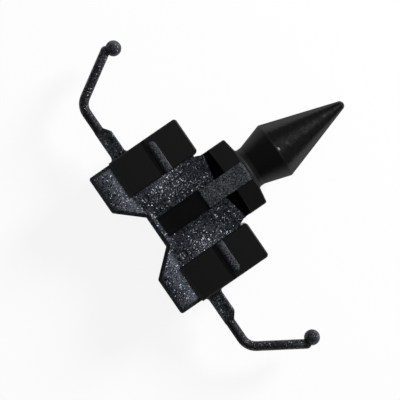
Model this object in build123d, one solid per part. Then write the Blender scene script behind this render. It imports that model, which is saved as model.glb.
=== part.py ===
from build123d import *
import math
import os

# Moulded car trim clip. Millimetres.
# X runs along the snap dart, towards its tip. Y runs across, from one spring arm to the other.
# Z is the thickness. The clip is the same above and below Z = 0, where the mould halves part.
# The origin is on the dart's axis, in the plane of the collar's front face.

# Overall sizes
BODY_LENGTH = 18.6      # rear edge of the flanges to the collar's front face
BODY_WIDTH = 22.72      # across the outer walls of the two side blocks
ARM_SPAN = 50.66        # over the two balls
PLATE_HEIGHT = 5.4      # through the plate and the flanges

# Snap dart
DART_LENGTH = 16.2      # collar face to the tip
RING_DIAMETER = 8.3     # widest ring, which snaps behind the panel
NECK_DIAMETER = 5.98
NECK_LENGTH = 0.95
RING_POSITION = 4.7     # collar face to the widest ring
TIP_RADIUS = 0.65
NECK_FILLET = 0.42
RING_ROUND = 0.4

# Collar and waist
COLLAR_WIDTH = 10.44
COLLAR_DEPTH = 2.8      # along X at the rib
COLLAR_FLARE = 0.3      # how much further back the wings start at their outer ends
COLLAR_SWEEP = 0.33     # how far the front face falls back at the outer ends
WING_DROP = 1.25        # how much lower the wings are at their outer ends
GROOVE_INNER = 1.72     # width of the waist groove beside the rib
GROOVE_OUTER = 0.72     # and at its outer ends
WAIST_HEIGHT = 2.0      # thickness left in the waist groove

# Rib and pocket on the centre line
RIB_WIDTH = 2.76
RIB_LENGTH = 7.14
RIB_RISE = 1.1          # rib above the plate
RIB_SETBACK = 0.15      # rib's front end behind the collar's front face
RIB_BULGE = 0.2         # front end of the rib, rounded in plan
RIB_ROLL = 0.45         # radius at which the rib's front end rolls down to the neck
POCKET_WIDTH = 3.1
POCKET_RIM = 1.07       # wall left between the pocket and the web's rear edge
POCKET_FLOOR = 1.4      # thickness left between the upper and lower pockets

# Side blocks and their beads
BLOCK_RISE = 0.22       # block above the plate
BLOCK_SETBACK = 0.38    # block's front wall behind the plate's front corner
BLOCK_CORNER = 0.5
BLOCK_RAMP = 0.2        # sloping rear edge of the block's faces, along X
BLOCK_GAP = 0.58        # block's inner wall outside the collar's width
NOTCH_DEPTH = 0.8
EDGE_ROUND = 0.16
BEAD_WIDTH = 1.2
BEAD_RISE = 0.3
BEAD_SETBACK = 4.7      # bead's middle behind the block's front wall
BEAD_END_GAP = 0.7      # rounded end of the bead to the block's outer wall
RELIEF_WIDTH = 0.58     # shallow groove along the bead's rear foot
RELIEF_DEPTH = 0.18

# Rear flanges and the web between them
FLANGE_INSET = 0.16     # flange's outer wall inside the block's outer wall
FLANGE_LENGTH = 3.42    # flange's rear edge to the block
WEB_SETBACK = 3.5       # flange's rear edge to the web's rear edge
WEB_HALF = 2.38         # half the length of the web's rear edge
FLANGE_ROOT = 5.52      # where the slanted edge meets the flange's rear edge
FLANGE_CORNER = 0.4
BEVEL_WIDTH = 0.58      # bevel along the rear and outer edges of the flanges and web
BEVEL_HEIGHT = 0.36

# Spring arms
WIRE_DIAMETER = 1.37
BEND_RADIUS = 2.3
ARM_ANGLE = 32.0        # of the arm's outer run to X
ARM_INSET = 0.71        # arm's rear side in front of the block's rear wall
BALL_DIAMETER = 2.24
BALL_FORWARD = 8.09     # ball's centre in front of the arm's upright run, along X
WRIST = 1.15            # end of the arm's straight run to the ball's centre
WRIST_ANGLE = -17.0
BOSS_WIDTH = 2.13
BOSS_HEIGHT = 2.0
BOSS_LENGTH = 4.6       # block's outer wall to the end of the boss
BOSS_TO_BEND = 0.3      # least upright run left between the boss and the bend
BOSS_SLOPE = 1.0        # length of the boss's slanted end
BOSS_BEVEL = 0.42       # bevel along the boss's rear edges
ROOT_FILLET = 0.65
PIN_MARK = 1.6          # diameter of the marks left by the mould's ejector pins
PIN_MARK_DEPTH = 0.14
PIN_MARK_SLOPE = 0.2    # width of a mark's sloping wall

# Derived positions
REAR = -BODY_LENGTH
WEB_REAR = REAR + WEB_SETBACK
BLOCK_REAR = REAR + FLANGE_LENGTH
PLATE_TOP = PLATE_HEIGHT / 2
BLOCK_TOP = PLATE_TOP + BLOCK_RISE
RIB_TOP = PLATE_TOP + RIB_RISE
COLLAR_TOP = PLATE_TOP + 0.4
COLLAR_HALF = COLLAR_WIDTH / 2
BLOCK_IN = COLLAR_HALF + BLOCK_GAP
BLOCK_OUT = BODY_WIDTH / 2
FLANGE_OUT = BLOCK_OUT - FLANGE_INSET
WING_BACK_IN = -COLLAR_DEPTH
WING_BACK_OUT = -COLLAR_DEPTH - COLLAR_FLARE
PLATE_FRONT_OUT = WING_BACK_OUT - GROOVE_OUTER
PLATE_FRONT_IN = WING_BACK_IN - GROOVE_INNER
BLOCK_FRONT = PLATE_FRONT_OUT - BLOCK_SETBACK
RIB_HALF = RIB_WIDTH / 2
POCKET_FRONT = -RIB_LENGTH
POCKET_REAR = WEB_REAR + POCKET_RIM
WIRE = WIRE_DIAMETER / 2
BALL = BALL_DIAMETER / 2
ARM_X = BLOCK_REAR + ARM_INSET + WIRE
BALL_X = ARM_X + BALL_FORWARD
BALL_Y = ARM_SPAN / 2 - BALL
WRIST_X = BALL_X - WRIST * math.cos(math.radians(WRIST_ANGLE))
WRIST_Y = BALL_Y - WRIST * math.sin(math.radians(WRIST_ANGLE))
CORNER_Y = WRIST_Y - (WRIST_X - ARM_X) * math.tan(math.radians(ARM_ANGLE))
BEND_CUT = BEND_RADIUS * math.tan(math.radians(90 - ARM_ANGLE) / 2)
UPRIGHT = CORNER_Y - BEND_CUT - BLOCK_OUT
BOSS_END = BLOCK_OUT + min(BOSS_LENGTH, UPRIGHT - BOSS_TO_BEND)
BOSS_REAR = ARM_X - WIRE - 0.02
BOSS_FRONT = BOSS_REAR + BOSS_WIDTH


def both_sides(shape):
    return shape + mirror(shape, about=Plane.XZ)


def plan(points, half_height):
    """A plan outline, made solid by the same height above and below Z = 0."""
    face = make_face(Polyline(*points, close=True))
    return extrude(face, amount=half_height, both=True)


def corner_at(face, x, y):
    return face.vertices().sort_by_distance(Vector(x, y, 0))[0]


def dart():
    """Neck, widest ring and long cone with a rounded tip, turned about X."""
    ring = RING_DIAMETER / 2
    neck = NECK_DIAMETER / 2
    centre = DART_LENGTH - TIP_RADIUS
    reach = math.hypot(centre - RING_POSITION, ring)
    angle = math.atan2(-ring, centre - RING_POSITION) + math.asin(TIP_RADIUS / reach)
    slide = math.sqrt(reach**2 - TIP_RADIUS**2)
    touch = (RING_POSITION + slide * math.cos(angle), ring + slide * math.sin(angle))
    half = math.atan2(touch[1], touch[0] - centre) / 2
    middle = (centre + TIP_RADIUS * math.cos(half), TIP_RADIUS * math.sin(half))
    start = -COLLAR_DEPTH / 2
    lines = Polyline(
        (DART_LENGTH, 0), (start, 0), (start, neck), (NECK_LENGTH, neck), (RING_POSITION, ring), touch
    )
    tip = ThreePointArc(touch, middle, (DART_LENGTH, 0))
    profile = make_face(lines + tip)
    profile = fillet(corner_at(profile, RING_POSITION, ring), RING_ROUND)
    return revolve(profile, Axis.X, 360)


def neck_fillet():
    """Small fillet between the neck and the collar's front face."""
    neck = NECK_DIAMETER / 2 - 0.01
    size = NECK_FILLET
    profile = make_face(
        Polyline((size, neck), (-size, neck), (-size, neck + size), (0, neck + size))
        + ThreePointArc(
            (0, neck + size),
            (size * (1 - math.sqrt(0.5)), neck + size * (1 - math.sqrt(0.5))),
            (size, neck),
        )
    )
    return revolve(profile, Axis.X, 360)


def collar():
    """Wings to both sides of the neck: swept back in front and falling away outwards."""
    flat = NECK_DIAMETER / 2 + 0.05
    outline = make_face(
        Polyline(
            (WING_BACK_IN, RIB_HALF),
            (WING_BACK_OUT, COLLAR_HALF),
            (-COLLAR_SWEEP, COLLAR_HALF),
            (0, flat),
            (0, -flat),
            (-COLLAR_SWEEP, -COLLAR_HALF),
            (WING_BACK_OUT, -COLLAR_HALF),
            (WING_BACK_IN, -RIB_HALF),
            close=True,
        )
    )
    ends = [corner_at(outline, -COLLAR_SWEEP, side * COLLAR_HALF) for side in (1, -1)]
    outline = fillet(ends, 0.3)
    block = extrude(outline, amount=COLLAR_TOP + 1, both=True)
    low = COLLAR_TOP - WING_DROP
    upper = [(0, COLLAR_TOP), (RIB_HALF, COLLAR_TOP), (COLLAR_HALF + 0.5, low)]
    right = upper + [(y, -z) for y, z in reversed(upper)]
    left = [(-y, z) for y, z in reversed(right)]
    across = make_face(Plane.YZ * Polyline(*right, *left[1:-1], close=True))
    wall = extrude(across, amount=COLLAR_DEPTH + COLLAR_FLARE + 2, both=True)
    solid = block & wall
    tops = solid.edges().filter_by(lambda e: abs(e.center().Y) > RIB_HALF + 0.3 and abs(e.center().Z) > low * 0.5)
    return chamfer(tops.filter_by(lambda e: e.length > 1.0), 0.14)


def waist():
    """Thin bar that joins the plate to the collar under the groove."""
    points = [
        (PLATE_FRONT_IN - 1.0, COLLAR_HALF),
        (WING_BACK_IN + 0.5, COLLAR_HALF),
        (WING_BACK_IN + 0.5, -COLLAR_HALF),
        (PLATE_FRONT_IN - 1.0, -COLLAR_HALF),
    ]
    return plan(points, WAIST_HEIGHT / 2)


def plate():
    """Straight-walled middle of the plate, from behind the pocket's rim to the waist groove."""
    rear = WEB_REAR + BEVEL_WIDTH + 0.3
    half = [
        (rear, BLOCK_IN + 0.4),
        (PLATE_FRONT_OUT - NOTCH_DEPTH - 0.4, BLOCK_IN + 0.4),
        (PLATE_FRONT_OUT - NOTCH_DEPTH - 0.4, BLOCK_IN - 0.2),
        (PLATE_FRONT_OUT - 0.4, COLLAR_HALF),
        (PLATE_FRONT_OUT, COLLAR_HALF),
        (PLATE_FRONT_IN, RIB_HALF),
    ]
    return plan(half + [(x, -y) for x, y in reversed(half)], PLATE_TOP)


def flanges():
    """Rear flanges and web, with a lead-in bevel round their rear and outer edges."""
    front = BLOCK_REAR + 2.0
    half = [
        (front, FLANGE_OUT),
        (REAR, FLANGE_OUT),
        (REAR, FLANGE_ROOT),
        (WEB_REAR, WEB_HALF),
    ]
    face = make_face(Polyline(*half, *[(x, -y) for x, y in reversed(half)], close=True))
    corners = [corner_at(face, REAR, side * FLANGE_OUT) for side in (1, -1)]
    corners += [corner_at(face, REAR, side * FLANGE_ROOT) for side in (1, -1)]
    face = fillet(corners, FLANGE_CORNER)
    wall = PLATE_TOP - BEVEL_HEIGHT
    lean = math.degrees(math.atan(BEVEL_WIDTH / BEVEL_HEIGHT))
    bevel = extrude(Location((0, 0, wall)) * face, amount=BEVEL_HEIGHT, dir=(0, 0, 1), taper=lean)
    return extrude(face, amount=wall, both=True) + bevel + mirror(bevel, about=Plane.XY)


def block():
    """One side block with rounded front corners, softened edges and a ramp down to the flange."""
    face = make_face(
        Polyline(
            (BLOCK_REAR, BLOCK_IN),
            (BLOCK_REAR, BLOCK_OUT),
            (BLOCK_FRONT, BLOCK_OUT),
            (BLOCK_FRONT, BLOCK_IN),
            close=True,
        )
    )
    corners = [corner_at(face, BLOCK_FRONT, BLOCK_OUT), corner_at(face, BLOCK_FRONT, BLOCK_IN)]
    face = fillet(corners, BLOCK_CORNER)
    solid = extrude(face, amount=BLOCK_TOP, both=True)
    top = BLOCK_REAR + BLOCK_RAMP
    foot = BLOCK_TOP - 0.85 * BLOCK_RISE
    side = [(BLOCK_FRONT, BLOCK_TOP), (top, BLOCK_TOP), (BLOCK_REAR, foot)]
    side += [(x, -z) for x, z in reversed(side)]
    wall = make_face(Plane.XZ * Polyline(*side, close=True))
    solid = solid & extrude(wall, amount=BODY_WIDTH, both=True)
    rims = solid.edges().filter_by(lambda e: abs(e.center().Z) > BLOCK_TOP - 0.01 and e.center().X > top + 0.01)
    return chamfer(rims, EDGE_ROUND)


def relief(side):
    """Shallow groove along the bead's rear foot, across one face of a block."""
    x = BLOCK_FRONT - BEAD_SETBACK - BEAD_WIDTH / 2 - RELIEF_WIDTH / 2
    y = (BLOCK_IN + BLOCK_OUT) / 2
    return Location((x, y, side * BLOCK_TOP)) * Box(RELIEF_WIDTH, BLOCK_OUT, 2 * RELIEF_DEPTH)


def bead(side):
    """Low round-topped bead across one face of a block, with a rounded outer end."""
    radius = (BEAD_WIDTH**2 / 4 + BEAD_RISE**2) / (2 * BEAD_RISE)
    x = BLOCK_FRONT - BEAD_SETBACK
    z = BLOCK_TOP + BEAD_RISE - radius
    end = BLOCK_OUT - BEAD_END_GAP - BEAD_WIDTH / 2
    start = BLOCK_IN + EDGE_ROUND
    bar = Location((x, (start + end) / 2, side * z), (90, 0, 0)) * Cylinder(radius, end - start)
    return bar + Location((x, end, side * z)) * Sphere(radius)


def rib():
    """Raised rib along the centre line, with a rounded front end at the neck."""
    tip = -RIB_SETBACK
    base = tip - RIB_BULGE
    bulge = ThreePointArc((base, RIB_HALF), (tip, 0), (base, -RIB_HALF))
    sides = Polyline((base, -RIB_HALF), (POCKET_FRONT, -RIB_HALF), (POCKET_FRONT, RIB_HALF), (base, RIB_HALF))
    solid = extrude(make_face(bulge + sides), amount=RIB_TOP, both=True)
    front = solid.edges().filter_by(lambda e: abs(e.center().Z) > RIB_TOP - 0.01 and e.center().X > base)
    return fillet(front, RIB_ROLL)


def pocket():
    """Space taken out above and below on the centre line, between the rim and the rib."""
    depth = PLATE_TOP + 1 - POCKET_FLOOR / 2
    length = POCKET_FRONT - POCKET_REAR
    tool = Location(((POCKET_FRONT + POCKET_REAR) / 2, 0, POCKET_FLOOR / 2 + depth / 2)) * Box(
        length, POCKET_WIDTH, depth
    )
    return tool + mirror(tool, about=Plane.XY)


def arm():
    """Spring arm: upright run, bend and outer run, ending in a ball."""
    start = (ARM_X, BLOCK_OUT - 1.0)
    path = FilletPolyline(start, (ARM_X, CORNER_Y), (WRIST_X, WRIST_Y), radius=BEND_RADIUS)
    section = Plane(origin=(ARM_X, BLOCK_OUT - 1.0, 0), z_dir=(0, 1, 0)) * Circle(WIRE)
    wire = sweep(section, path=path)
    wrist = Location((WRIST_X, WRIST_Y, 0)) * Sphere(WIRE)
    ball = Location((BALL_X, BALL_Y, 0)) * Sphere(BALL)
    return wire + wrist + ball


def boss():
    """Thicker root of the arm, with fillets where it leaves the block's outer wall."""
    root = BLOCK_OUT - 1.0
    slope = min(BOSS_SLOPE, (BOSS_END - BLOCK_OUT) * 0.45)
    step = BOSS_FRONT - (ARM_X + WIRE)
    pad = ROOT_FILLET + 0.04
    face = make_face(
        Polyline(
            (BOSS_REAR - pad, root),
            (BOSS_REAR - pad, BLOCK_OUT),
            (BOSS_REAR, BLOCK_OUT),
            (BOSS_REAR, BOSS_END),
            (BOSS_FRONT - step, BOSS_END),
            (BOSS_FRONT, BOSS_END - slope),
            (BOSS_FRONT, BLOCK_OUT),
            (BOSS_FRONT + pad, BLOCK_OUT),
            (BOSS_FRONT + pad, root),
            close=True,
        )
    )
    face = fillet([corner_at(face, BOSS_REAR, BLOCK_OUT), corner_at(face, BOSS_FRONT, BLOCK_OUT)], ROOT_FILLET)
    solid = extrude(face, amount=BOSS_HEIGHT / 2, both=True)
    high = BOSS_HEIGHT / 2
    low = WIRE * 0.8
    side = [(root, high), (BOSS_END - slope * 0.8, high), (BOSS_END, low)]
    side += [(y, -z) for y, z in reversed(side)]
    wall = make_face(Plane.YZ * Polyline(*side, close=True))
    wall = extrude(wall, amount=BODY_LENGTH + BOSS_WIDTH, both=True)
    solid = solid & wall
    for near, size in ((BOSS_REAR, BOSS_BEVEL), (BOSS_FRONT, EDGE_ROUND)):
        edges = solid.edges().filter_by(
            lambda e: abs(e.center().Z) > high - 0.01
            and BLOCK_OUT + ROOT_FILLET < e.center().Y < BOSS_END - slope
            and abs(e.center().X - near) < 0.01
        )
        solid = chamfer(edges, size)
    return solid


def pin_mark(x, y, top):
    """Shallow round recess with a sloping wall."""
    wide = PIN_MARK / 2
    return Location((x, y, top)) * Cone(wide - 2 * PIN_MARK_SLOPE, wide, 2 * PIN_MARK_DEPTH)


def clip():
    side = block() - relief(1) - relief(-1) + bead(1) + bead(-1) + arm() + boss()
    body = plate() + flanges() + waist() + collar()
    body = body + both_sides(side)
    body = body - pocket() + rib()
    body = body + dart() + neck_fillet()
    boss_mark = ((BOSS_REAR + BOSS_FRONT) / 2, BOSS_END - BOSS_SLOPE - PIN_MARK / 2 - 0.2, BOSS_HEIGHT / 2)
    plate_mark = (BLOCK_REAR + 1.49, BLOCK_IN - 1.2, PLATE_TOP)
    body = body - both_sides(pin_mark(*boss_mark)) - both_sides(pin_mark(*plate_mark))
    return body.clean()


os.makedirs("parts", exist_ok=True)
solid = clip()
export_step(solid, "parts/trim_clip.step")
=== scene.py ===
import math
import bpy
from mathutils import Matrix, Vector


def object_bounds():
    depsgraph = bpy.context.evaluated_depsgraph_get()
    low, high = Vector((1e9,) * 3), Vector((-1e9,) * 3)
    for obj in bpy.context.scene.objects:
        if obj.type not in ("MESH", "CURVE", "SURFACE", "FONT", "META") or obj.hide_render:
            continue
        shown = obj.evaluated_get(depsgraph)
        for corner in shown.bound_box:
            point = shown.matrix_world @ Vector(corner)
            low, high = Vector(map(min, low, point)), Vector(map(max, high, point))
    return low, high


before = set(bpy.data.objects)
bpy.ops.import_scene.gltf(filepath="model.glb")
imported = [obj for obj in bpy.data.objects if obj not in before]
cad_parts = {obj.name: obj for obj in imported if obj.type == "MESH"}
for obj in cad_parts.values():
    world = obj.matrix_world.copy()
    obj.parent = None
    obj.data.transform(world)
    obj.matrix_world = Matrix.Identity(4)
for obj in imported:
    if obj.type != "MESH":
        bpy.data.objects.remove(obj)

from types import SimpleNamespace

import bpy
from mathutils import Matrix, Vector

# A black moulded trim clip seen from straight above, on a plain pale floor. All places are in metres, in the part's
# own frame: X runs along the dart to its tip and the spring arms stand out along Y. Both sides and both faces are
# alike, so places across the clip are given as distances off its middle.
MM = 0.001
cad_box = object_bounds()
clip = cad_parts["trim_clip"]

# Edges of the faces, along X
BLOCK_REAR = -15.18 * MM
POCKET_REAR = -14.03 * MM
POCKET_FRONT = -7.14 * MM
GROOVE_REAR = -4.6 * MM
BLOCK_FRONT = -4.2 * MM
COLLAR_REAR = -3.1 * MM
GROOVE_FRONT = -2.7 * MM
RIB_FRONT = -0.14 * MM
COLLAR_FRONT = -0.05 * MM
CREASE_FRONT = 0.2 * MM
DART_REAR = 0.5 * MM

# Edges of the faces, off the middle in Y
RIB_HALF = 1.38 * MM
POCKET_HALF = 1.55 * MM
CREASE_HALF = 3.6 * MM
BLOCK_INNER = 5.8 * MM
BLOCK_OUTER = 11.36 * MM

# Heights off the middle plane
PLATE_TOP = 2.7 * MM
BLOCK_TOP = 2.92 * MM

# How far past an edge a mask ends, and how wide its step is
REACH = 0.02 * MM
CLEAR = 0.1 * MM
BLOCK_WALL_DEPTH = 0.05 * MM
BLOCK_NOSE = 0.3 * MM
BEVEL_DROP = 0.03 * MM
BEAD_FOOT = 0.05 * MM
STEP = 0.04 * MM
THIN_STEP = 0.02 * MM
WIDE_STEP = 0.1 * MM
SUNK = PLATE_TOP - CLEAR
RAISED = PLATE_TOP + CLEAR

# Soft borders, each with its place and its width
FLANGE_END = (BLOCK_REAR + CLEAR, 0.8 * MM)
# Painted highlight: the flange is coloured lighter towards the block
NEAR_BLOCK = (BLOCK_REAR - 1.3 * MM, 2.6 * MM)
# Painted highlight: the eroded faces are coloured lighter along the blocks' walls and on the web, and their facets
# lean further there
HIGHLIGHT_REAR = (-12.6 * MM, 3.2 * MM)
HIGHLIGHT_FRONT = (-8.0 * MM, 3.6 * MM)
HIGHLIGHT_INNER = (3.4 * MM, 3.0 * MM)
WEB_FRONT = (POCKET_REAR + 0.2 * MM, 0.4 * MM)
WEB_HALF = (3.0 * MM, 1.0 * MM)
BOSS_END = (15.4 * MM, 0.8 * MM)
UPRIGHT_START = (15.5 * MM, 0.6 * MM)
UPRIGHT_END = (19.2 * MM, 0.8 * MM)
BALL_START = (23.5 * MM, 0.5 * MM)
REAR_CONE_END = (4.8 * MM, 0.3 * MM)
FRONT_CONE_START = (5.2 * MM, 0.3 * MM)
TIP_START = (15.7 * MM, 0.3 * MM)
FLANK_LIMIT = (0.52, 0.5)  # on the normal's Z, so that the dart's sides are in and its top is out

# Round spots: the ejector pins' marks, and the bright nick on the dart's ring, which is twice as long across
BOSS_MARK = (-13.43 * MM, 13.96 * MM)
PLATE_MARK = (-13.69 * MM, 4.6 * MM)
MARK_RADIUS = 0.8 * MM
NICK = (5.02 * MM, -0.04 * MM)
NICK_RADIUS = 0.12 * MM
NICK_SQUEEZE = 0.5

# Noises: scale per metre, detail and roughness
GRAIN = (5000.0, 3.0, 0.65)
DUST = (14000.0, 2.0, 0.6)
CLOUD = (520.0, 3.0, 0.6)
FINE_CLOUD = (1900.0, 3.0, 0.6)
WEAR = (1500.0, 3.0, 0.7)
WAVES = (2600.0, 2.0, 0.5)
CLOUD_LOW, CLOUD_HIGH = 0.38, 0.62
PATCH_SHARE = 0.6

# Colours: the eroded faces from dark to light, then the smooth ones. The light ends of the eroded and flange colours
# are partly a painted highlight, and the bevel and groove colours are painted shade.
ERODED = ((0.0062, 0.0072, 0.0095, 1.0), (0.0360, 0.0405, 0.0490, 1.0))
# The flange's light end is a painted highlight towards the block
FLANGE = ((0.0300, 0.0335, 0.0400, 1.0), (0.1000, 0.1090, 0.1270, 1.0))
FINE = ((0.0120, 0.0130, 0.0155, 1.0), (0.0480, 0.0520, 0.0610, 1.0))
ARM = (0.0118, 0.0122, 0.0135, 1.0)
BOSS = (0.0160, 0.0176, 0.0212, 1.0)
BALL = (0.0230, 0.0250, 0.0300, 1.0)
UPRIGHT = (0.0035, 0.0038, 0.0044, 1.0)
# Painted shade: the bevels round the rear flanges face away from the key and are coloured darker than the flanges
BEVEL = (0.0140, 0.0145, 0.0165, 1.0)
SATIN = (0.0060, 0.0060, 0.0062, 1.0)
DART_SATIN = (0.0046, 0.0046, 0.0046, 1.0)
# Painted shade: the waist groove and the crease at the collar's front are coloured near black for the shadow in them
GROOVE_PAINTED_SHADE = (0.0022, 0.0022, 0.0022, 1.0)
FLANGE_SHARE = 0.8
DARK_SHARE = 0.9
PATCH_SHADE = 0.55
GRAIN_SHADE = (3.0, -1.25)  # gain and offset

# Roughness, from 0 for a mirror to 1 for chalk
ERODED_ROUGH = 0.1
ARM_ROUGHER = 0.1
FLANGE_ROUGHER = 0.04
DUST_ROUGH = 0.2
UPRIGHT_ROUGH = (2.6, -0.62)  # gain and offset on the grain
MARK_ROUGH = 0.28
BEAD_ROUGH = 0.68
RIB_ROUGH = 0.62
SATIN_ROUGH = 0.26
COLLAR_FRONT_ROUGH = 0.6
GROOVE_ROUGH = 0.9
WORN_ROUGH = (0.34, 0.05)  # gain and offset on the wear
REAR_CONE_ROUGH = 0.45
FRONT_FLANK_ROUGH = 0.8
REAR_FLANK_ROUGH = 0.66
NICK_ROUGH = 0.45
IOR = 1.5
SPECULAR_LEVEL = 0.25

# Facets: cells per metre, and how far they lean, where 1 is as long as the normal. Each cell leans by its random
# colour, less the middle one, so that all directions are alike.
MIDDLE_COLOUR = (0.5, 0.5, 0.5)
FACETS_PER_METRE = 7000.0
FINE_FACETS_PER_METRE = 12000.0
LEAN = 1.2
LEAN_PER_PATCH = 0.6
FINE_LEAN = 1.9
TIP_LEAN = 1.4
ARM_CALM = 0.35
UPRIGHT_CALM = 0.65
BEVEL_CALM = 0.65
MARK_CALM = 0.4
HIGHLIGHT_DRIFT = 0.8
NICK_DRIFT = 0.34

# Bumps, as shares of the full depth
BUMP_DEPTH = 0.28 * MM
GRAIN_BUMP = 0.12
DUST_BUMP = 0.1
WAVE_BUMP = 0.02
CONE_WAVE_BUMP = 0.1

# Floor: plain to the lamps, and near white with a faint shadow to the camera and in reflections
FLOOR_SIZE = 3.0
FLOOR_GREY = (0.8, 0.8, 0.8, 1.0)
SHADOW_GREY = (0.11, 0.11, 0.11, 1.0)
FLOOR_GLOW = 0.89
WHITE = (1.0, 1.0, 1.0)

# Room light and lamps: name, azimuth from +X towards +Y and angle from straight up in degrees, distance and size in
# metres, watts and tint. The key is small and low in front of the dart, and the others are wide and weak.
ROOM_TINT = (0.96, 0.98, 1.0, 1.0)
ROOM_STRENGTH = 0.05
LAMP_TARGET = (-6 * MM, 0, 0)
LAMPS = (
    ("key", 2, 68, 0.45, 0.12, 3.8, (0.98, 0.99, 1.03)),
    ("over_dart", 10, 22, 0.5, 0.44, 0.17, WHITE),
    ("upper_side", 95, 42, 0.5, 0.40, 0.07, WHITE),
    ("lower_side", -90, 45, 0.5, 0.40, 0.03, WHITE),
    ("behind", 180, 68, 0.5, 0.40, 0.15, WHITE),
)

# Camera: nearly straight above, turned so that the dart points up and to the right
CAMERA_PLACE = (-7.73 * MM, 2.48 * MM, 194.1 * MM)
CAMERA_TILT = (0.670, 0.011, -0.175)  # degrees about X, Y and Z
CAMERA_ROLL = 34.7  # degrees
FOCAL_IN_FRAMES = 1406 / 400
SENSOR = 36.0
CLIP_START = 0.005


class Nodes:
    """A short way to build a node tree: each call adds a node, sets its inputs and returns its output.

    A socket goes by its name, or by its number where several sockets share a name."""

    def __init__(self, tree):
        self.tree = tree
        tree.nodes.clear()

    def add(self, kind, inputs=None, out=0, **settings):
        node = self.tree.nodes.new(kind)
        for key, value in settings.items():
            setattr(node, key, value)
        for key, value in (inputs or {}).items():
            self.put(node.inputs[key], value)
        return node.outputs[out] if out is not None else node

    def put(self, socket, value):
        if isinstance(value, bpy.types.NodeSocket):
            self.tree.links.new(value, socket)
        else:
            socket.default_value = value

    def math(self, operation, a, b=0.0, c=0.0, clamp=False):
        return self.add("ShaderNodeMath", {0: a, 1: b, 2: c}, operation=operation, use_clamp=clamp)

    def vector_math(self, operation, inputs):
        return self.add("ShaderNodeVectorMath", inputs, operation=operation)

    def times(self, a, b):
        return self.math("MULTIPLY", a, b)

    def scaled(self, value, gain, offset=0.0, clamp=False):
        """The value times a gain, plus an offset."""
        return self.math("MULTIPLY_ADD", value, gain, offset, clamp)

    def outside(self, mask):
        return self.math("SUBTRACT", 1.0, mask)

    def above(self, value, limit, soft=STEP):
        """0 below the limit and 1 above it, with a soft step around it."""
        rise = self.math("SUBTRACT", value, limit - soft / 2)
        return self.math("DIVIDE", rise, soft, clamp=True)

    def below(self, value, limit, soft=STEP):
        return self.outside(self.above(value, limit, soft))

    def all_of(self, first, *others):
        result = first
        for mask in others:
            result = self.times(result, mask)
        return result

    def any_of(self, first, *others):
        result = first
        for mask in others:
            result = self.math("MAXIMUM", result, mask)
        return result

    def disc(self, x, y, centre, radius):
        """1 within the radius of a centre in plan."""
        dx = self.math("SUBTRACT", x, centre[0])
        dy = self.math("SUBTRACT", y, centre[1])
        away = self.math("SQRT", self.math("ADD", self.times(dx, dx), self.times(dy, dy)))
        return self.below(away, radius)

    def mix(self, share, a, b):
        """Number mix."""
        return self.add("ShaderNodeMix", {0: share, 2: a, 3: b}, data_type="FLOAT")

    def mix_colour(self, share, a, b):
        return self.add("ShaderNodeMix", {0: share, 6: a, 7: b}, out=2, data_type="RGBA")

    def noise(self, place, scale, detail, roughness):
        inputs = {"Vector": place, "Scale": scale, "Detail": detail, "Roughness": roughness}
        return self.add("ShaderNodeTexNoise", inputs)

    def facets(self, place, scale, lean, drift):
        """The surface's normal, leaned a random way in each small cell, as on a spark-eroded face.

        The drift leans all cells a little towards +X."""
        cell = self.add("ShaderNodeTexVoronoi", {"Vector": place, "Scale": scale}, out="Color")
        push = self.vector_math("SUBTRACT", {0: cell, 1: MIDDLE_COLOUR})
        push = self.vector_math("SCALE", {0: push, "Scale": lean})
        along = self.add("ShaderNodeCombineXYZ", {"X": drift})
        push = self.vector_math("ADD", {0: push, 1: along})
        normal = self.add("ShaderNodeNewGeometry", out="Normal")
        return self.vector_math("NORMALIZE", {0: self.vector_math("ADD", {0: normal, 1: push})})


def position(n):
    """The place on the clip: whole, along each axis, and off the middle in Y and Z."""
    place = n.add("ShaderNodeTexCoord", out="Object")
    x, y, z = n.add("ShaderNodeSeparateXYZ", {0: place}, out=None).outputs
    return SimpleNamespace(place=place, x=x, y=y, z=z, y_off=n.math("ABSOLUTE", y), z_off=n.math("ABSOLUTE", z))


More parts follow.
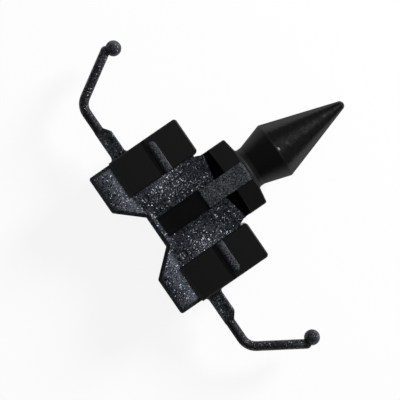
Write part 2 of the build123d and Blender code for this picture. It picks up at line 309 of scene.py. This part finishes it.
def body_zones(n, at):
    """Masks, from 0 to 1, of the body's faces that the mould leaves different."""
    x, y_off, z_off = at.x, at.y_off, at.z_off
    bead = n.all_of(
        n.above(z_off, BLOCK_TOP + BEAD_FOOT, WIDE_STEP), n.above(y_off, BLOCK_INNER), n.above(x, BLOCK_REAR)
    )
    block = n.all_of(
        n.above(x, BLOCK_REAR - REACH),
        n.below(x, BLOCK_FRONT + BLOCK_NOSE),
        n.above(y_off, BLOCK_INNER),
        n.below(y_off, BLOCK_OUTER + REACH),
        n.any_of(
            n.above(z_off, PLATE_TOP + REACH, THIN_STEP),
            n.above(y_off, BLOCK_OUTER - BLOCK_WALL_DEPTH),
            n.above(x, BLOCK_FRONT - CLEAR),
        ),
    )
    pocket = n.all_of(
        n.above(x, POCKET_REAR - REACH),
        n.below(x, POCKET_FRONT + REACH),
        n.below(y_off, POCKET_HALF + REACH),
        n.below(z_off, SUNK),
    )
    waist = n.all_of(
        n.above(x, GROOVE_REAR), n.below(x, GROOVE_FRONT), n.below(z_off, SUNK), n.below(y_off, BLOCK_INNER)
    )
    crease = n.all_of(n.above(x, RIB_FRONT), n.below(x, CREASE_FRONT), n.below(y_off, CREASE_HALF))
    groove = n.any_of(waist, crease)
    rib = n.all_of(n.below(y_off, RIB_HALF + REACH), n.above(z_off, RAISED), n.below(x, RIB_FRONT))
    collar_and_dart = n.above(x, COLLAR_REAR - CLEAR)
    smooth = n.any_of(n.times(block, n.outside(bead)), pocket, groove, collar_and_dart)
    return {
        "smooth": n.times(smooth, n.outside(rib)),
        "bead": bead,
        "rib": rib,
        "fine": n.any_of(bead, rib),
        "groove": groove,
        "collar_front": n.above(x, COLLAR_FRONT),
        "flange": n.below(x, *FLANGE_END),
        "bevel": n.all_of(
            n.below(x, POCKET_REAR - CLEAR), n.below(y_off, BLOCK_OUTER), n.below(z_off, PLATE_TOP - BEVEL_DROP)
        ),
        "mark": n.any_of(n.disc(x, y_off, BOSS_MARK, MARK_RADIUS), n.disc(x, y_off, PLATE_MARK, MARK_RADIUS)),
    }


def arm_zones(n, at):
    """Masks of the spring arms: all of them, the boss at the root, the upright run and the ball."""
    arm = n.above(at.y_off, BLOCK_OUTER + REACH)
    return {
        "arm": arm,
        "boss": n.times(arm, n.below(at.y_off, *BOSS_END)),
        "upright": n.all_of(arm, n.above(at.y_off, *UPRIGHT_START), n.below(at.y_off, *UPRIGHT_END)),
        "ball": n.above(at.y_off, *BALL_START),
    }


def dart_zones(n, at):
    """Masks of the dart: all of it, its two cones, its tip, its sides, and the nick on the upper side of its ring."""
    upward = n.add("ShaderNodeSeparateXYZ", {0: n.add("ShaderNodeTexCoord", out="Normal")}, out="Z")
    across = n.times(at.y, NICK_SQUEEZE)
    return {
        "dart": n.above(at.x, DART_REAR),
        "rear_cone": n.below(at.x, *REAR_CONE_END),
        "front_cone": n.above(at.x, *FRONT_CONE_START),
        "tip": n.above(at.x, *TIP_START),
        "flank": n.below(n.math("ABSOLUTE", upward), *FLANK_LIMIT),
        "nick": n.all_of(n.disc(at.x, across, NICK, NICK_RADIUS), n.above(at.z, 0.0)),
    }


def highlight_zones(n, at, flange):
    """Masks of where a highlight is painted into the colour and the facets lean further: on the flanges towards
    the blocks, on the plate along the blocks' walls, and on the web."""
    # Painted highlight on the flange towards the block
    near_block = n.above(at.x, *NEAR_BLOCK)
    # Painted highlight along the blocks' walls and on the web
    near_wall = n.all_of(
        n.above(at.y_off, *HIGHLIGHT_INNER), n.above(at.x, *HIGHLIGHT_REAR), n.below(at.x, *HIGHLIGHT_FRONT)
    )
    web = n.times(n.below(at.x, *WEB_FRONT), n.below(at.y_off, *WEB_HALF))
    return {"near_block": near_block, "worked": n.mix(flange, n.any_of(near_wall, web), near_block)}


def zones(n, at):
    """All masks, by name."""
    masks = {**body_zones(n, at), **arm_zones(n, at), **dart_zones(n, at)}
    return SimpleNamespace(**masks, **highlight_zones(n, at, masks["flange"]))


def textures(n, at, zone):
    """The noises that colour, gloss and bumps share, and the patches, which are strongest where the highlight is
    painted.
    """
    cloud = n.noise(at.place, *CLOUD)
    patch = n.add(
        "ShaderNodeMapRange",
        {"Value": cloud, "From Min": CLOUD_LOW, "From Max": CLOUD_HIGH, "To Min": 0.0, "To Max": 1.0},
    )
    # Painted highlight: the patches, and so the eroded faces' colour, are lighter in the highlight zone
    patch = n.scaled(zone.worked, PATCH_SHARE, n.times(patch, PATCH_SHARE), clamp=True)
    grain, dust = n.noise(at.place, *GRAIN), n.noise(at.place, *DUST)
    return SimpleNamespace(cloud=cloud, patch=patch, grain=grain, dust=dust)


def colour(n, at, zone, texture):
    """Bluish grey patches on the eroded faces, laid over each other from the plate outwards, with a painted highlight
    towards the blocks and on the web and painted shade on the bevels, and black satin ones with painted shade in the
    grooves.
    """
    # The grain gives a random tone, and the patches add the painted highlight
    shade = n.scaled(texture.patch, PATCH_SHADE, n.scaled(texture.grain, *GRAIN_SHADE), clamp=True)
    eroded = n.mix_colour(shade, *ERODED)
    layers = (
        # Painted highlight: the flange's colour lightens towards the block
        (n.times(zone.flange, FLANGE_SHARE), n.mix_colour(zone.near_block, *FLANGE)),
        (zone.fine, n.mix_colour(n.noise(at.place, *FINE_CLOUD), *FINE)),
        (zone.arm, ARM),
        (zone.boss, BOSS),
        (zone.ball, BALL),
        (n.times(zone.upright, DARK_SHARE), UPRIGHT),
        # Painted shade: the bevels are coloured darker
        (n.times(zone.bevel, DARK_SHARE), BEVEL),
    )
    for mask, tone in layers:
        eroded = n.mix_colour(mask, eroded, tone)
    # Painted shade: the grooves are coloured near black
    satin = n.mix_colour(zone.groove, n.mix_colour(zone.dart, SATIN, DART_SATIN), GROOVE_PAINTED_SHADE)
    return n.mix_colour(zone.smooth, eroded, satin)


def roughness(n, at, zone, texture):
    """Glossy facets on the eroded faces, satin on the smooth ones, and a worn streak along the dart's top."""
    rough = n.scaled(texture.dust, DUST_ROUGH, n.scaled(zone.arm, ARM_ROUGHER, ERODED_ROUGH))
    rough = n.mix(zone.upright, rough, n.scaled(texture.grain, *UPRIGHT_ROUGH, clamp=True))
    rough = n.scaled(zone.flange, FLANGE_ROUGHER, rough)
    rough = n.mix(zone.mark, rough, MARK_ROUGH)
    rough = n.mix(zone.rib, n.mix(zone.bead, rough, BEAD_ROUGH), RIB_ROUGH)

    worn = n.scaled(n.noise(at.place, *WEAR), *WORN_ROUGH)
    worn = n.mix(zone.rear_cone, worn, REAR_CONE_ROUGH)
    worn = n.mix(zone.flank, worn, n.mix(zone.rear_cone, FRONT_FLANK_ROUGH, REAR_FLANK_ROUGH))
    worn = n.mix(zone.nick, worn, NICK_ROUGH)
    satin = n.mix(zone.dart, n.mix(zone.collar_front, SATIN_ROUGH, COLLAR_FRONT_ROUGH), worn)
    return n.mix(zone.smooth, rough, n.mix(zone.groove, satin, GROOVE_ROUGH))


def relief(n, at, zone, texture):
    """Sparkling facets with a fine grain on top. They are calmer on the arms, bevels and marks, and the smooth faces
    have none, apart from the dart's tip."""
    lean = n.mix(zone.worked, n.scaled(texture.patch, LEAN_PER_PATCH, LEAN), LEAN)
    lean = n.mix(zone.fine, lean, FINE_LEAN)
    calm = n.any_of(n.mix(zone.upright, n.times(zone.arm, ARM_CALM), UPRIGHT_CALM), n.times(zone.bevel, BEVEL_CALM))
    lean = n.all_of(lean, n.outside(calm), n.scaled(zone.mark, -MARK_CALM, 1.0), n.outside(zone.smooth))
    lean = n.scaled(zone.tip, TIP_LEAN, lean)
    plain = n.outside(n.any_of(zone.smooth, zone.fine, zone.arm, zone.bevel))
    drift = n.all_of(zone.worked, plain, texture.cloud)
    drift = n.scaled(drift, HIGHLIGHT_DRIFT, n.times(zone.nick, NICK_DRIFT))
    facets = n.facets(at.place, n.mix(zone.fine, FACETS_PER_METRE, FINE_FACETS_PER_METRE), lean, drift)

    height = n.mix(zone.fine, n.times(texture.grain, GRAIN_BUMP), n.times(texture.dust, DUST_BUMP))
    waves = n.times(n.noise(at.place, *WAVES), n.mix(zone.front_cone, WAVE_BUMP, CONE_WAVE_BUMP))
    height = n.mix(zone.smooth, height, waves)
    return n.add(
        "ShaderNodeBump", {"Height": height, "Strength": 1.0, "Distance": BUMP_DEPTH, "Normal": facets}
    )


def plastic(name):
    """Black moulded plastic: spark-eroded, sparkling faces and smooth satin ones."""
    material = bpy.data.materials.new(name)
    material.use_nodes = True
    n = Nodes(material.node_tree)
    at = position(n)
    zone = zones(n, at)
    texture = textures(n, at, zone)
    shader = n.add(
        "ShaderNodeBsdfPrincipled",
        {
            "Base Color": colour(n, at, zone, texture),
            "Roughness": roughness(n, at, zone, texture),
            "Normal": relief(n, at, zone, texture),
            "IOR": IOR,
            "Specular IOR Level": SPECULAR_LEVEL,
        },
    )
    n.add("ShaderNodeOutputMaterial", {"Surface": shader}, out=None)
    return material


def floor_material():
    """White to the camera and in reflections, with the object's soft shadow, and a plain pale floor to the lamps."""
    material = bpy.data.materials.new("pale_floor")
    material.use_nodes = True
    n = Nodes(material.node_tree)
    rays = n.add("ShaderNodeLightPath", out=None).outputs
    seen = n.any_of(rays["Is Camera Ray"], rays["Is Glossy Ray"], rays["Is Transmission Ray"])
    plain = n.add("ShaderNodeBsdfDiffuse", {"Color": FLOOR_GREY})
    shaded = n.add("ShaderNodeBsdfDiffuse", {"Color": SHADOW_GREY})
    glow = n.add("ShaderNodeEmission", {"Color": (*WHITE, 1.0), "Strength": FLOOR_GLOW})
    white = n.add("ShaderNodeAddShader", {0: shaded, 1: glow})
    surface = n.add("ShaderNodeMixShader", {0: seen, 1: plain, 2: white})
    n.add("ShaderNodeOutputMaterial", {"Surface": surface}, out=None)
    return material


def floor():
    lowest = cad_box[0][2]
    bpy.ops.mesh.primitive_plane_add(size=FLOOR_SIZE, location=(0, 0, lowest))
    plane = bpy.context.object
    plane.name = "floor"
    plane.data.materials.append(floor_material())


def room():
    world = bpy.data.worlds.new("studio")
    bpy.context.scene.world = world
    world.use_nodes = True
    n = Nodes(world.node_tree)
    light = n.add("ShaderNodeBackground", {"Color": ROOM_TINT, "Strength": ROOM_STRENGTH})
    n.add("ShaderNodeOutputWorld", {"Surface": light}, out=None)


def lamp(name, azimuth, zenith, distance, size, power, tint):
    """A square soft lamp aimed at the middle of the body. Azimuth turns from +X towards +Y."""
    a, z = math.radians(azimuth), math.radians(zenith)
    away = Vector((math.sin(z) * math.cos(a), math.sin(z) * math.sin(a), math.cos(z)))
    data = bpy.data.lights.new(name, "AREA")
    data.shape = "SQUARE"
    data.size = size
    data.energy = power
    data.color = tint
    light = bpy.data.objects.new(name, data)
    light.location = Vector(LAMP_TARGET) + away * distance
    light.rotation_euler = away.to_track_quat("Z", "Y").to_euler()
    bpy.context.scene.collection.objects.link(light)


def camera():
    turn = Matrix.Identity(3)
    for axis, angle in zip("XYZ", CAMERA_TILT):
        turn = Matrix.Rotation(math.radians(angle), 3, axis) @ turn
    turn = Matrix.Rotation(math.radians(CAMERA_ROLL), 3, "Z") @ turn
    data = bpy.data.cameras.new("camera")
    data.sensor_width = SENSOR
    data.lens = SENSOR * FOCAL_IN_FRAMES
    data.clip_start = CLIP_START
    eye = bpy.data.objects.new("camera", data)
    eye.matrix_world = Matrix.Translation(CAMERA_PLACE) @ turn.transposed().to_4x4()
    bpy.context.scene.collection.objects.link(eye)
    bpy.context.scene.camera = eye


moulded = plastic("black_plastic_moulded")
for slot in clip.material_slots:
    slot.material = moulded
floor()
room()
for settings in LAMPS:
    lamp(*settings)
camera()
bpy.context.scene.view_settings.view_transform = "Standard"
